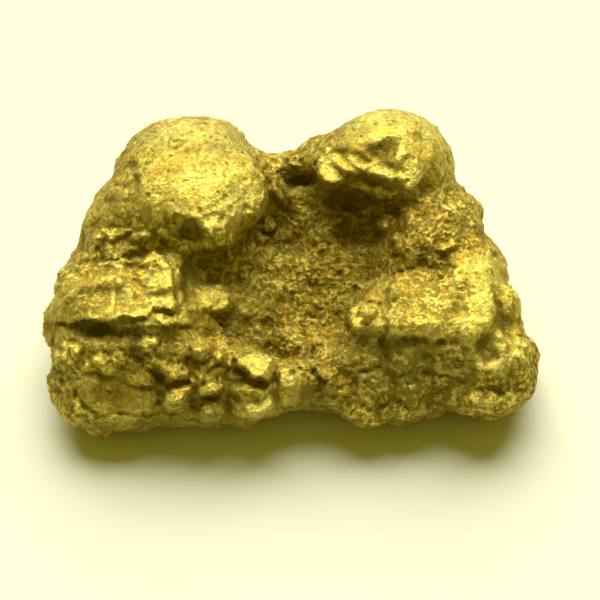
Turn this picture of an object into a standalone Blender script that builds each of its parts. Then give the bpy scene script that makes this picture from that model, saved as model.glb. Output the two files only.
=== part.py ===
"""Gold nugget: one lump of native gold, lying on its broad underside. Metres, +Z up.

The nugget grows in four steps. Rounded lobes, each an ellipsoid, are melted together into one
body with filleted joins, and a hollow is carved out of its top. Boulders, ledges and ridges are
seated on that body and melted in, and pits and clefts are bitten into it. Dents and crumbs then
roughen the whole lump, apart from the domes that wear has burnished. Last, the ground cuts off
what lies below it, which leaves the flats that the nugget rests on.

X runs along the lump. The sizes and places in the tables below are in millimetres and degrees,
and they are measured before STAND moves the middle of the lump over the origin.
"""

import math

import bmesh
import bpy
from mathutils import Matrix, Vector, noise
from mathutils.bvhtree import BVHTree

MM = 0.001

NUGGET = "nugget"
GOLD_COLOUR = (0.83, 0.60, 0.12, 1.0)
GOLD_ROUGHNESS = 0.38

FACE_MIDDLE = Vector((0, 0, 4)) * MM  # where the axes of every face cross
STAND = Vector((0.45, -2.35, 0)) * MM

BODY_VOXEL = 0.26 * MM
DETAIL_VOXEL = 0.19 * MM
BODY_FILLET = 14
HOLLOW_FILLET = 6
DETAIL_FILLET = 2
TRIANGLES = 9300

BROAD_SCALE = 3.2
BROAD_DEPTH = 0.26
CRUMB_SCALE = 1.6
CRUMB_DEPTH = 0.22
GROUND_REACH = 20 * MM

# An ellipsoid: its centre (x, y, z) and its half sizes along x, y and z.
BODY_LOBES = {
    "left_hump": ((-5.6, 7.0, 4.5), (4.1, 3.9, 3.8)),
    "left_hump_crown": ((-5.2, 4.9, 6.6), (3.8, 3.2, 1.7)),
    "left_hump_front": ((-5.4, 4.3, 4.0), (3.4, 3.0, 3.2)),
    "left_shoulder": ((-8.2, 4.4, 3.6), (3.3, 3.8, 3.1)),
    "left_flank": ((-9.2, 2.6, 3.2), (2.5, 2.6, 2.8)),
    "left_block": ((-8.2, -1.0, 3.0), (4.7, 3.8, 3.1)),
    "left_block_top": ((-8.9, -0.4, 4.7), (3.5, 2.5, 1.2)),
    "left_foot": ((-8.6, -3.9, 2.1), (3.9, 2.7, 2.3)),
    "left_foot_outer": ((-10.3, -4.2, 2.0), (2.3, 2.4, 2.1)),
    "left_front_chunks": ((-5.0, -3.7, 2.2), (2.6, 2.6, 2.3)),
    "front_boulder": ((-2.6, -4.3, 2.3), (1.6, 1.9, 2.0)),
    "middle_nub": ((-4.35, 0.1, 3.9), (0.9, 1.0, 0.8)),
    "floor": ((0.2, 2.2, 1.35), (9.5, 6.8, 1.65)),
    "floor_rise": ((1.2, 3.4, 2.3), (5.0, 3.6, 1.7)),
    "floor_back": ((1.8, 5.6, 2.6), (4.2, 2.9, 2.6)),
    "floor_left": ((-3.2, 1.4, 2.3), (2.6, 3.2, 1.6)),
    "centre_toe": ((-0.4, -4.1, 2.2), (1.7, 1.8, 1.4)),
    "centre_crumbs": ((0.3, -2.4, 2.6), (1.6, 1.4, 1.0)),
    "right_toe": ((2.6, -3.9, 2.2), (2.1, 2.1, 1.8)),
    "right_block": ((6.6, -1.3, 3.0), (4.3, 3.5, 3.1)),
    "right_foot": ((5.2, -3.5, 2.0), (3.4, 2.5, 2.2)),
    "right_foot_outer": ((9.5, -2.9, 2.3), (2.6, 3.1, 2.4)),
    "right_top_plate": ((5.9, -1.2, 4.9), (2.5, 2.1, 1.0)),
    "right_side_plate": ((8.4, -0.1, 5.0), (1.6, 2.4, 1.1)),
    "right_nub": ((3.0, -1.8, 4.3), (0.9, 0.9, 1.0)),
    "right_flank": ((8.0, 1.7, 3.2), (2.6, 2.8, 2.8)),
    "right_shoulder": ((6.6, 3.8, 3.5), (3.0, 4.2, 3.2)),
    "right_hump": ((4.5, 7.7, 4.7), (3.7, 3.4, 3.7)),
    "right_hump_crown": ((4.2, 7.0, 6.6), (3.2, 2.5, 1.6)),
    "right_hump_flank": ((1.6, 8.0, 4.4), (2.3, 2.3, 2.4)),
    "saddle": ((-0.5, 7.4, 3.6), (3.0, 2.3, 2.7)),
    "back_left_foot": ((-5.4, 7.2, 2.1), (3.6, 2.8, 2.4)),
    "back_right_foot": ((5.2, 7.0, 2.0), (3.4, 2.8, 2.3)),
}

HOLLOWS = {
    "central_hollow": ((2.0, 2.9, 7.2), (3.5, 3.2, 3.2)),
    "hollow_mouth": ((0.4, -0.9, 5.4), (2.9, 4.0, 2.5)),
}

# A face looks out along its azimuth (0 is -Y, 90 is +X) and elevation, and a place on it is
# (u, v), u to the right and v up for someone who looks at the face.
FACES = {
    "show": (0, 50),
    "back": (180, 0),
    "left_end": (270, 0),
    "right_end": (90, 0),
    "underside": (0, -90),
}

# Stands proud of its face: middle (u, v), half sizes along u, v and outwards, height, turn.
BOULDERS = {
    "show": {
        "left_crown_lip": ((-4.6, 3.8), (1.6, 0.8, 0.8), 0.35, -20),
        "left_crown_tongue": ((-3.9, 2.95), (1.0, 0.85, 0.8), 0.70, -25),
        "left_top_ridge": ((-6.7, 1.2), (0.6, 1.4, 0.7), 0.50, 8),
        "left_top_slab": ((-10.0, 0.3), (1.9, 1.1, 0.7), 0.30, 12),
        "left_top_lip": ((-8.3, -0.9), (2.6, 0.55, 0.7), 0.40, -3),
        "left_nose": ((-11.4, -2.8), (0.9, 0.9, 0.7), 0.40, 0),
        "left_front_block": ((-9.4, -3.1), (0.9, 0.5, 0.6), 0.45, -10),
        "ring_pebble": ((-7.5, -2.5), (0.75, 0.6, 0.6), 0.45, 0),
        "left_low_pebble": ((-6.1, -4.8), (0.8, 0.8, 0.7), 0.50, 0),
        "left_mid_pebble": ((-6.2, -3.6), (0.7, 0.6, 0.6), 0.35, 0),
        "ring_crumb": ((-5.0, -2.5), (0.8, 0.75, 0.7), 0.50, 0),
        "left_inner_block": ((-4.6, -4.1), (0.7, 0.5, 0.6), 0.45, 10),
        "left_inner_pebble": ((-4.3, -5.6), (0.75, 0.7, 0.7), 0.45, 0),
        "crescent_boulder": ((-2.1, -3.1), (1.1, 0.7, 0.9), 0.65, -25),
        "front_boulder_cap": ((-2.3, -5.0), (1.1, 1.0, 0.9), 0.60, 0),
        "middle_nub_cap": ((-4.2, 0.1), (1.0, 0.8, 0.8), 0.60, -30),
        "centre_crumb": ((-0.5, -2.3), (1.3, 0.8, 0.7), 0.40, -25),
        "centre_toe_cap": ((-0.5, -4.3), (0.9, 1.1, 0.8), 0.45, 0),
        "right_nub_cap": ((3.1, -0.9), (0.9, 0.75, 0.8), 0.60, 20),
        "right_plate_lip": ((5.5, -1.2), (1.9, 0.6, 0.8), 0.45, 0),
        "right_front_lobe": ((5.3, -2.9), (1.1, 0.9, 0.8), 0.28, 0),
        "right_inner_lobe": ((3.0, -2.7), (1.0, 0.9, 0.8), 0.32, 0),
        "right_toe_crumb": ((1.4, -4.3), (0.6, 0.9, 0.7), 0.40, -10),
        "right_low_lobe": ((2.9, -5.3), (1.6, 0.9, 0.8), 0.40, -8),
        "right_mid_lobe": ((5.6, -5.4), (1.1, 0.7, 0.7), 0.35, 6),
        "right_corner_lobe": ((8.8, -5.0), (1.7, 0.8, 0.8), 0.35, 8),
        "right_rim_lobe": ((10.4, -0.9), (0.7, 1.9, 0.8), 0.35, 10),
        "right_rim_toe": ((10.9, -3.2), (0.7, 1.5, 0.8), 0.30, 0),
        "ridge_west": ((1.2, 7.0), (1.0, 0.5, 0.7), 0.50, 5),
        "ridge_tongue": ((1.5, 6.25), (0.85, 0.75, 0.9), 0.65, 0),
        "ridge_middle": ((2.9, 6.0), (1.2, 0.6, 0.8), 0.60, -20),
        "ridge_east": ((4.3, 5.5), (1.0, 0.6, 0.8), 0.60, -22),
        "right_hump_plate": ((5.3, 6.6), (0.8, 1.1, 0.6), 0.35, 20),
    },
    "back": {
        "back_left_bulge": ((4.4, 0.4), (2.2, 1.6, 1.2), 0.45, 15),
        "back_crown_slab": ((5.9, 1.7), (1.6, 0.5, 0.9), 0.18, -14),
        "back_shoulder_slab": ((-4.4, 1.8), (1.2, 0.5, 0.8), 0.18, 18),
        "back_rib": ((3.4, -1.8), (0.8, 1.2, 0.8), 0.30, 10),
        "back_left_toe": ((6.4, -2.2), (1.6, 1.1, 0.9), 0.45, -10),
        "back_ledge": ((0.6, -0.6), (1.9, 0.6, 0.9), 0.60, 8),
        "back_saddle_crumb": ((-0.6, 0.7), (0.9, 0.7, 0.7), 0.40, 0),
        "back_right_bulge": ((-5.6, 0.2), (1.9, 1.3, 1.0), 0.45, -20),
        "back_right_pebble": ((-3.0, -2.0), (1.1, 0.8, 0.8), 0.50, 0),
        "back_corner_slab": ((-7.8, -1.2), (1.3, 1.0, 0.8), 0.40, 30),
    },
    "left_end": {
        "left_end_boss": ((-1.2, -0.6), (1.6, 1.0, 0.9), 0.45, 10),
        "left_end_toe": ((3.6, -2.2), (1.5, 0.8, 0.8), 0.40, 0),
        "left_end_back_toe": ((-5.0, -1.8), (1.7, 1.0, 0.8), 0.40, -8),
    },
    "right_end": {
        "right_end_boss": ((3.0, -1.2), (1.5, 0.9, 0.9), 0.30, -12),
        "right_end_toe": ((-1.8, -2.2), (1.4, 0.8, 0.8), 0.40, 0),
        "right_end_back_toe": ((5.6, -1.9), (1.7, 0.9, 0.8), 0.40, 6),
    },
}

# Bites into its face: middle (u, v), half sizes along u, v and inwards, depth, turn.
PITS = {
    "show": {
        "under_left_crown": ((-5.75, 3.3), (0.85, 0.72, 1.3), 1.00, 0),
        "left_valley": ((-4.0, 1.9), (1.3, 0.5, 0.9), 0.35, -15),
        "left_crown_gap": ((-2.2, 3.3), (0.5, 0.9, 1.0), 0.70, -10),
        "left_top_pit": ((-8.1, 1.2), (0.8, 0.6, 0.6), 0.40, 0),
        "left_crack_outer": ((-10.6, -1.45), (1.9, 0.38, 0.8), 0.50, 2),
        "left_crack_inner": ((-8.3, -1.75), (1.2, 0.28, 0.7), 0.35, -8),
        "left_facet": ((-9.2, -4.7), (2.1, 1.1, 0.6), 0.32, -4),
        "boulder_notch": ((-3.3, -3.8), (0.9, 0.40, 0.9), 0.45, -18),
        "nub_shadow": ((-3.6, -0.9), (1.1, 0.45, 0.6), 0.22, -30),
        "right_plate_undercut": ((5.2, -1.95), (2.1, 0.40, 0.8), 0.16, 0),
        "right_front_crease": ((4.1, -2.7), (0.28, 0.9, 0.8), 0.26, 0),
        "shiny_pit": ((9.2, -2.4), (0.75, 0.8, 0.6), 0.24, 0),
        "plate_crease": ((8.2, 0.2), (0.28, 1.4, 0.5), 0.20, -14),
        "rim_crease": ((10.2, -0.9), (0.26, 1.5, 0.6), 0.28, 12),
        "hump_pit": ((3.8, 7.3), (0.70, 0.36, 0.7), 0.42, -12),
        "hump_pit_corner": ((4.5, 7.8), (0.55, 0.34, 0.7), 0.36, 25),
        "under_ridge_west": ((-0.1, 6.15), (1.15, 0.48, 1.0), 0.70, -6),
        "under_ridge_middle": ((2.3, 4.95), (1.4, 0.42, 1.2), 0.80, -12),
        "under_ridge_east": ((4.3, 4.55), (1.0, 0.36, 0.9), 0.40, -20),
        "hollow_heart": ((2.8, 3.6), (1.5, 1.2, 1.2), 0.60, 0),
    },
    "back": {
        "back_cleft": ((2.4, -1.0), (0.4, 2.0, 1.0), 0.60, -12),
        "back_crown_seam": ((5.0, 1.1), (1.8, 0.26, 0.7), 0.32, -16),
        "back_shoulder_seam": ((-5.2, 1.1), (1.4, 0.26, 0.7), 0.32, 24),
        "back_pit": ((-2.0, 0.2), (0.9, 0.6, 0.8), 0.60, 20),
        "back_low_groove": ((-5.6, -1.9), (2.2, 0.3, 0.8), 0.45, -6),
        "back_left_dent": ((7.2, 0.0), (0.8, 1.2, 0.8), 0.45, 25),
    },
    "left_end": {
        "left_end_crack": ((1.4, -1.4), (2.2, 0.32, 0.9), 0.55, -14),
        "left_end_pit": ((-3.6, 0.6), (0.8, 0.6, 0.8), 0.50, 0),
    },
    "right_end": {
        "right_end_crease": ((0.4, -1.0), (0.32, 1.5, 0.9), 0.55, 18),
        "right_end_pit": ((4.6, 0.3), (0.8, 0.6, 0.8), 0.50, -15),
    },
    "underside": {
        "underside_dish": ((-4.2, -1.5), (2.0, 1.6, 1.2), 0.60, 20),
        "underside_groove": ((4.4, -2.5), (0.6, 2.8, 1.0), 0.60, -25),
        "underside_pit": ((7.0, 0.5), (1.0, 0.8, 0.9), 0.55, 0),
    },
}

# Balls in which wear has smoothed the crumbs away: centre (x, y, z) and radius.
BURNISHED = {
    "left_crown": ((-5.3, 6.6, 7.4), 5.4),
    "right_crown": ((4.6, 8.8, 7.2), 4.4),
    "right_side": ((8.6, 0.6, 6.0), 2.0),
    "left_facet": ((-9.2, -5.9, 3.2), 2.2),
}
BURNISHED_SHARE = 0.15  # of the roughness that stays at the middle of such a ball


def clear_scene():
    for obj in list(bpy.data.objects):
        bpy.data.objects.remove(obj)


def gold():
    material = bpy.data.materials.new("native_gold")
    material.use_nodes = True
    shader = material.node_tree.nodes["Principled BSDF"]
    shader.inputs["Base Color"].default_value = GOLD_COLOUR
    shader.inputs["Metallic"].default_value = 1.0
    shader.inputs["Roughness"].default_value = GOLD_ROUGHNESS
    return material


def face_axes(face):
    """The face's u, v and outward directions, as the columns of a rotation."""
    azimuth, elevation = (math.radians(angle) for angle in FACES[face])
    u = Vector((math.cos(azimuth), math.sin(azimuth), 0))
    level = Vector((math.sin(azimuth), -math.cos(azimuth), 0))
    out = level * math.cos(elevation) + Vector((0, 0, math.sin(elevation)))
    return Matrix((u, out.cross(u), out)).transposed().to_4x4()


def stretched(half_sizes):
    return Matrix.Diagonal((*(size * MM for size in half_sizes), 1.0))


def standing(lobe):
    """The matrix that makes a ball of radius 1 into this lobe of the body."""
    centre, half_sizes = lobe
    return Matrix.Translation(Vector(centre) * MM) @ stretched(half_sizes)


def seated(obj, features, outward):
    """Such a matrix for each feature, set where a ray down onto its face meets the object.
    Outward is 1 for a boulder that stands proud by its height, and -1 for a pit of its depth."""
    surface = BVHTree.FromObject(obj, bpy.context.evaluated_depsgraph_get())
    matrices = []
    for face, on_face in features.items():
        axes = face_axes(face)
        out = axes.col[2].to_3d()
        for (u, v), half_sizes, depth, turn in on_face.values():
            above = FACE_MIDDLE + axes.to_3x3() @ Vector((u, v, 30)) * MM
            hit = surface.ray_cast(above, -out)[0]
            centre = hit + out * outward * (depth - half_sizes[2]) * MM
            spin = Matrix.Rotation(math.radians(turn), 4, "Z")
            matrices.append(Matrix.Translation(centre) @ axes @ spin @ stretched(half_sizes))
    return matrices


def object_of(name, build):
    """A new object that holds the bmesh, which it frees."""
    mesh = bpy.data.meshes.new(name)
    build.to_mesh(mesh)
    build.free()
    obj = bpy.data.objects.new(name, mesh)
    bpy.context.scene.collection.objects.link(obj)
    return obj


def balls(name, matrices, detail):
    build = bmesh.new()
    for matrix in matrices:
        bmesh.ops.create_icosphere(build, subdivisions=detail, radius=1.0, matrix=matrix)
    return object_of(name, build)


def apply_modifiers(obj):
    """Leaves the object with the mesh that its modifiers make, and no modifiers."""
    graph = bpy.context.evaluated_depsgraph_get()
    made = bpy.data.meshes.new_from_object(obj.evaluated_get(graph))
    obj.modifiers.clear()
    obj.data = made


def melt(obj, voxel, fillet):
    """Makes one closed surface of all that the object holds, and rounds its inner corners."""
    remesh = obj.modifiers.new("melt", "REMESH")
    remesh.mode = "VOXEL"
    remesh.voxel_size = voxel
    smooth = obj.modifiers.new("fillet", "SMOOTH")
    smooth.factor = 0.5
    smooth.iterations = fillet
    apply_modifiers(obj)


def carve(obj, cutter):
    """Takes the cutter out of the object, and then deletes the cutter."""
    cut = obj.modifiers.new("carve", "BOOLEAN")
    cut.operation = "DIFFERENCE"
    cut.object = cutter
    apply_modifiers(obj)
    bpy.data.objects.remove(cutter)


def grow(obj, matrices):
    """Adds balls to what the object holds. The next melt makes them one with it."""
    buds = balls("buds", matrices, detail=3)
    joined = bmesh.new()
    joined.from_mesh(obj.data)
    joined.from_mesh(buds.data)
    joined.to_mesh(obj.data)
    joined.free()
    bpy.data.objects.remove(buds)


def roughness_left(place):
    share = 1.0
    for centre, radius in BURNISHED.values():
        near = 1 - (place - Vector(centre)).length / radius
        share = min(share, 1 - (1 - BURNISHED_SHARE) * min(max(2 * near, 0), 1))
    return share


def roughen(obj):
    """Moves each point along its normal: broad dents all over, and crumbs with creases between."""
    rough = bmesh.new()
    rough.from_mesh(obj.data)
    moves = []
    for point in rough.verts:
        place = point.co / MM
        broad = noise.fractal(place / BROAD_SCALE, 1.0, 2.0, 3)
        nearest, second = noise.voronoi(place / CRUMB_SCALE)[0][:2]
        crumb = min((second - nearest) / 0.45, 1) - 0.75
        depth = broad * BROAD_DEPTH + crumb * CRUMB_DEPTH
        moves.append(point.normal * depth * roughness_left(place) * MM)
    for point, move in zip(rough.verts, moves):
        point.co += move
    rough.to_mesh(obj.data)
    rough.free()


def thin_out(obj, triangles):
    """Keeps about that many triangles, and the most of them where the surface turns most."""
    fewer = obj.modifiers.new("fewer", "DECIMATE")
    fewer.ratio = triangles / sum(len(face.vertices) - 2 for face in obj.data.polygons)
    apply_modifiers(obj)


def ground():
    """A block that fills the space just below Z = 0."""
    build = bmesh.new()
    size = Matrix.Diagonal((2 * GROUND_REACH, 2 * GROUND_REACH, GROUND_REACH, 1.0))
    below = Matrix.Translation((0, 0, -GROUND_REACH / 2))
    bmesh.ops.create_cube(build, size=1.0, matrix=below @ size)
    return object_of("ground", build)


def main():
    clear_scene()
    nugget = balls(NUGGET, [standing(lobe) for lobe in BODY_LOBES.values()], detail=4)
    melt(nugget, BODY_VOXEL, BODY_FILLET)
    carve(nugget, balls("hollow", [standing(lobe) for lobe in HOLLOWS.values()], detail=4))
    melt(nugget, BODY_VOXEL, HOLLOW_FILLET)
    grow(nugget, seated(nugget, BOULDERS, 1))
    melt(nugget, DETAIL_VOXEL, DETAIL_FILLET)
    bites = balls("bites", seated(nugget, PITS, -1), detail=3)
    melt(bites, DETAIL_VOXEL / 2, 0)
    carve(nugget, bites)
    melt(nugget, DETAIL_VOXEL, DETAIL_FILLET)
    roughen(nugget)
    thin_out(nugget, TRIANGLES)
    nugget.data.transform(Matrix.Translation(STAND))
    carve(nugget, ground())
    nugget.data.materials.append(gold())
    nugget.data.shade_smooth()


main()
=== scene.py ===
"""Looks of the gold nugget: its fine surface, its gold, the floor, the light and the camera."""

import math

import bmesh
import bpy
import numpy as np
from mathutils import Matrix, Vector


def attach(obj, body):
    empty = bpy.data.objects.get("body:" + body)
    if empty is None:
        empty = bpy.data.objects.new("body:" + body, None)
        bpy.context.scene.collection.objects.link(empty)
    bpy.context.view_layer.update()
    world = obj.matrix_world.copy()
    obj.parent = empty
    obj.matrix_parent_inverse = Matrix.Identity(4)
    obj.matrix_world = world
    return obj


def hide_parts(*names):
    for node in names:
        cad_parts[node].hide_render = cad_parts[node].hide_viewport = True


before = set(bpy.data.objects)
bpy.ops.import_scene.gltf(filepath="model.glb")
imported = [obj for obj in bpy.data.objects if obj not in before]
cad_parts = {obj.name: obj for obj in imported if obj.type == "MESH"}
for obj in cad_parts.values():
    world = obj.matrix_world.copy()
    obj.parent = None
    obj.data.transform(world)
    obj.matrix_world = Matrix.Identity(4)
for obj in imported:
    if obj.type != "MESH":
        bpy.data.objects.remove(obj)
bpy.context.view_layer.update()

MM = 0.001
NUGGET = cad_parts["nugget"]

# Each face looks out along an azimuth (0 is -Y, 90 is +X) and an elevation. Places on it are
# (u, v) in millimetres from the middle, u to the right and v up for someone who looks at it.
FACES = {
    "show": (0, 50),
    "back": (180, 0),
    "left_end": (270, 0),
    "right_end": (90, 0),
    "underside": (0, -90),
}
MIDDLE = np.array((0.45, -2.35, 4.0))

COARSE_VOXEL = 0.12
FINE_VOXEL = 0.078
TRIANGLES = 196000
MOST_LEVELLED = 1.6  # millimetres that a terrace moves a point at most
CRYSTALS = {"size": 0.55, "channel": 360, "share": 0.3}
SEED = 7


# ------------------------ noise, on arrays of places


def cell_random(cells, channel):
    """A number from 0 to 1 for each row of whole numbers, the same each time for the same row."""
    x, y, z = (cells[:, axis].astype(np.uint64) for axis in range(3))
    mixed = x * np.uint64(374761393) + y * np.uint64(668265263) + z * np.uint64(2246822519)
    mixed += np.uint64(SEED * 7919 + channel * 104729)
    mixed = (mixed ^ (mixed >> np.uint64(13))) * np.uint64(1274126177)
    mixed = (mixed ^ (mixed >> np.uint64(15))) * np.uint64(2654435761)
    return ((mixed >> np.uint64(16)) & np.uint64(0xFFFFFF)).astype(float) / 0xFFFFFF


def soft_noise(places, size, channel):
    """Smooth noise from -1 to 1, with bumps about as wide as size."""
    scaled = places / size + 1000
    corner = np.floor(scaled)
    part = scaled - corner
    part = part * part * (3 - 2 * part)
    total = np.zeros(len(places))
    for step in np.ndindex(2, 2, 2):
        share = np.prod(np.where(step, part, 1 - part), axis=1)
        total += share * cell_random(corner + step, channel)
    return total * 2 - 1


def fractal(places, size, octaves, channel):
    """Noise of several sizes at once, each half as wide and half as strong as the one before."""
    return sum(
        soft_noise(places, size / 2**n, channel + n) / 2**n for n in range(octaves)
    )


def grains(places, size, channel):
    """For each place: how far it is from the middle of its grain, how far inside the grain's
    edge, both as shares of size, the grain's cell, and the way to its middle."""
    scaled = places / size + 1000
    corner = np.floor(scaled)
    nearest = np.full(len(places), 9.0)
    second = np.full(len(places), 9.0)
    cell = np.zeros_like(places)
    away = np.zeros_like(places)
    for step in np.ndindex(3, 3, 3):
        here = corner + step - 1
        middle = here + np.stack([cell_random(here, channel + n) for n in range(3)], axis=1)
        apart = scaled - middle
        distance = np.sqrt((apart**2).sum(axis=1))
        closer = distance < nearest
        second = np.where(closer, nearest, np.minimum(second, distance))
        nearest = np.where(closer, distance, nearest)
        cell[closer] = here[closer]
        away[closer] = apart[closer]
    return nearest, second - nearest, cell, away


def facets(places, size, channel, tilt):
    """Flat faces of about that size, each at its own height and slope, with steps between."""
    _, _, cell, away = grains(places, size, channel)
    slope = np.stack([cell_random(cell, channel + 5 + n) for n in range(3)], axis=1) - 0.5
    return cell_random(cell, channel + 4) - 0.5 + tilt * (slope * away).sum(axis=1)


def ridged(places, size, octaves, channel):
    """Noise of several sizes with sharp crests, from about -1 to 1."""
    return sum(
        (1 - 4 * np.abs(soft_noise(places, size / 2**n, channel + n))) / 2**n
        for n in range(octaves)
    )


def lumps(places, size, channel):
    """Rounded crumbs of uneven size with deep creases between them."""
    nearest, inside, cell, _ = grains(places, size, channel)
    dome = np.sqrt(np.clip(1 - nearest**2, 0, 1)) * (0.6 + 0.8 * cell_random(cell, channel + 4))
    return dome * ramp(inside, 0, 0.3) - 0.6


def pinholes(places, size, channel, share):
    """Small round holes in that share of the cells, -1 at their floor and 0 between them."""
    nearest, _, cell, _ = grains(places, size, channel)
    radius = 0.2 + 0.25 * cell_random(cell, channel + 4)
    there = cell_random(cell, channel + 5) < share
    return np.where(there, -np.sqrt(np.clip(1 - (nearest / radius) ** 2, 0, 1)), 0.0)


def ramp(value, low, high):
    """0 at low and 1 at high, with a smooth rise between. Low may be the greater."""
    part = np.clip((value - low) / (high - low), 0, 1)
    return part * part * (3 - 2 * part)


# ------------------------ the mesh


def read(items, key):
    """The three numbers that each of a mesh's points or normals has under that key."""
    flat = np.empty(len(items) * 3, np.float32)
    items.foreach_get(key, flat)
    return flat.reshape(-1, 3).astype(float)


def surface(obj):
    """The object's points and their normals."""
    return read(obj.data.vertices, "co"), read(obj.data.vertex_normals, "vector")


def move_points(mesh, points):
    mesh.vertices.foreach_set("co", points.astype(np.float32).ravel())
    mesh.update()


def apply_modifiers(obj):
    """Leaves the object with the mesh that its modifiers make, and no modifiers."""
    graph = bpy.context.evaluated_depsgraph_get()
    made = bpy.data.meshes.new_from_object(obj.evaluated_get(graph))
    obj.modifiers.clear()
    obj.data = made


def remesh(obj, voxel, smoothing):
    """Gives the object even faces about one voxel wide, then smooths them."""
    even = obj.modifiers.new("even", "REMESH")
    even.mode = "VOXEL"
    even.voxel_size = voxel
    if smoothing:
        smooth = obj.modifiers.new("smooth", "SMOOTH")
        smooth.factor = 0.5
        smooth.iterations = smoothing
    apply_modifiers(obj)


def round_off(obj, levels):
    """Turns the CAD model's flat facets into a smooth surface through them."""
    finer = obj.modifiers.new("finer", "SUBSURF")
    finer.levels = finer.render_levels = levels
    apply_modifiers(obj)


def thin_out(obj, triangles):
    fewer = obj.modifiers.new("fewer", "DECIMATE")
    fewer.ratio = min(1.0, triangles / sum(len(f.vertices) - 2 for f in obj.data.polygons))
    apply_modifiers(obj)


def nugget_copy():
    """A copy of the CAD node as a new object, in millimetres and with its split points welded."""
    build = bmesh.new()
    build.from_mesh(NUGGET.data)
    bmesh.ops.scale(build, vec=Vector((1, 1, 1)) / MM, verts=build.verts)
    bmesh.ops.remove_doubles(build, verts=build.verts, dist=0.001)
    mesh = bpy.data.meshes.new("nugget_gold")
    build.to_mesh(mesh)
    build.free()
    obj = bpy.data.objects.new("nugget_gold", mesh)
    bpy.context.scene.collection.objects.link(obj)
    return obj


# ------------------------ features on a face


class Face:
    """A way of looking at the nugget, in which features are placed and moved in or out."""

    def __init__(self, name, points, normals):
        azimuth, elevation = (math.radians(angle) for angle in FACES[name])
        right = np.array((math.cos(azimuth), math.sin(azimuth), 0))
        level = np.array((math.sin(azimuth), -math.cos(azimuth), 0))
        self.out = level * math.cos(elevation) + np.array((0, 0, math.sin(elevation)))
        up = np.cross(self.out, right)
        self.u = (points - MIDDLE) @ right
        self.v = (points - MIDDLE) @ up
        self.facing = ramp(normals @ self.out, 0.0, 0.3)

    def torn(self, points, amount, size, channel):
        """The same face with its places shifted by noise, so that what is laid on it is ragged."""
        copy = Face.__new__(Face)
        copy.out = self.out
        copy.facing = self.facing
        copy.u = self.u + amount * fractal(points, size, 2, channel)
        copy.v = self.v + amount * fractal(points, size, 2, channel + 20)
        return copy

    def radius(self, middle, half_sizes, turn):
        """How far each point is from the middle of an oval, 1 on its rim."""
        angle = math.radians(turn)
        du, dv = self.u - middle[0], self.v - middle[1]
        along = du * math.cos(angle) + dv * math.sin(angle)
        across = dv * math.cos(angle) - du * math.sin(angle)
        return np.hypot(along / half_sizes[0], across / half_sizes[1])

    def line(self, path):
        """For each point: its distance from the path, positive on the path's left, and how far
        along the path its nearest place is, from 0 to 1."""
        nearest = np.full(len(self.u), 1e9)
        side = np.zeros(len(self.u))
        along = np.zeros(len(self.u))
        steps = list(zip(path, path[1:]))
        for n, ((u0, v0), (u1, v1)) in enumerate(steps):
            du, dv = u1 - u0, v1 - v0
            pu, pv = self.u - u0, self.v - v0
            part = np.clip((pu * du + pv * dv) / (du * du + dv * dv), 0, 1)
            distance = np.hypot(pu - part * du, pv - part * dv)
            closer = distance < nearest
            nearest = np.where(closer, distance, nearest)
            side = np.where(closer, np.sign(du * pv - dv * pu), side)
            along = np.where(closer, (n + part) / len(steps), along)
        return nearest * side, along


def pebbles(face, places):
    """Rounded lumps that stand proud, each with a groove round its foot."""
    height = np.zeros(len(face.u))
    for middle, half_sizes, proud, turn in places:
        radius = face.radius(middle, half_sizes, turn)
        dome = np.sqrt(np.clip(1 - radius**2, 0, 1))
        groove = np.exp(-(((radius - 1.12) / 0.16) ** 2))
        height += proud * (1.15 * dome - 0.6 * groove)
    return height * face.facing


def pits(face, places):
    """Bites with a steep wall and a rounded floor."""
    height = np.zeros(len(face.u))
    for middle, half_sizes, depth, turn in places:
        radius = face.radius(middle, half_sizes, turn)
        height -= depth * np.sqrt(np.clip(1 - radius**2, 0, 1))
    return height * face.facing


def ledges(face, paths):
    """Plate edges: the left of each path stands proud and its right is undercut."""
    height = np.zeros(len(face.u))
    for path, lift, drop, reach in paths:
        side, along = face.line(path)
        ends = ramp(along, 0, 0.08) * ramp(along, 1, 0.92)
        above = lift * np.exp(-np.abs(side) / (2 * reach))
        below = -drop * np.exp(-((side / reach) ** 2))
        height += ends * np.where(side > 0, above, below)
    return height * face.facing


def cracks(face, paths):
    height = np.zeros(len(face.u))
    for path, width, depth in paths:
        side, along = face.line(path)
        taper = np.sqrt(np.clip(4 * along * (1 - along), 0.15, 1))
        height -= depth * taper * np.exp(-((side / (width * taper)) ** 2))
    return height * face.facing


def strokes(face, paths):
    """How strongly each point lies on any of the soft-edged lines."""
    most = np.zeros(len(face.u))
    for path, width in paths:
        side, _ = face.line(path)
        most = np.maximum(most, ramp(np.abs(side), width, 0.3 * width))
    return most * face.facing


def terraces(face, points, places):
    """How far each point moves out or in for the ground inside an oval to lie nearer level, while
    it stays where it is for someone who looks at the face."""
    height = np.zeros(len(points))
    for middle, half_sizes, turn, share in places:
        radius = face.radius(middle, half_sizes, turn)
        inside = ramp(radius, 1.1, 0.75) * face.facing
        core = (radius < 0.5) & (face.facing > 0.5)
        if core.any():
            short = np.percentile(points[core, 2], 75) - points[:, 2]
            height += share * inside * np.clip(short / face.out[2], -MOST_LEVELLED, MOST_LEVELLED)
    return height


def spots(face, places):
    """How strongly each point lies in any of the soft-edged ovals."""
    most = np.zeros(len(face.u))
    for middle, half_sizes, turn, strength in places:
        radius = face.radius(middle, half_sizes, turn)
        most = np.maximum(most, strength * ramp(radius, 1.3, 0.6))
    return most * face.facing


# ------------------------ what is where

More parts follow.
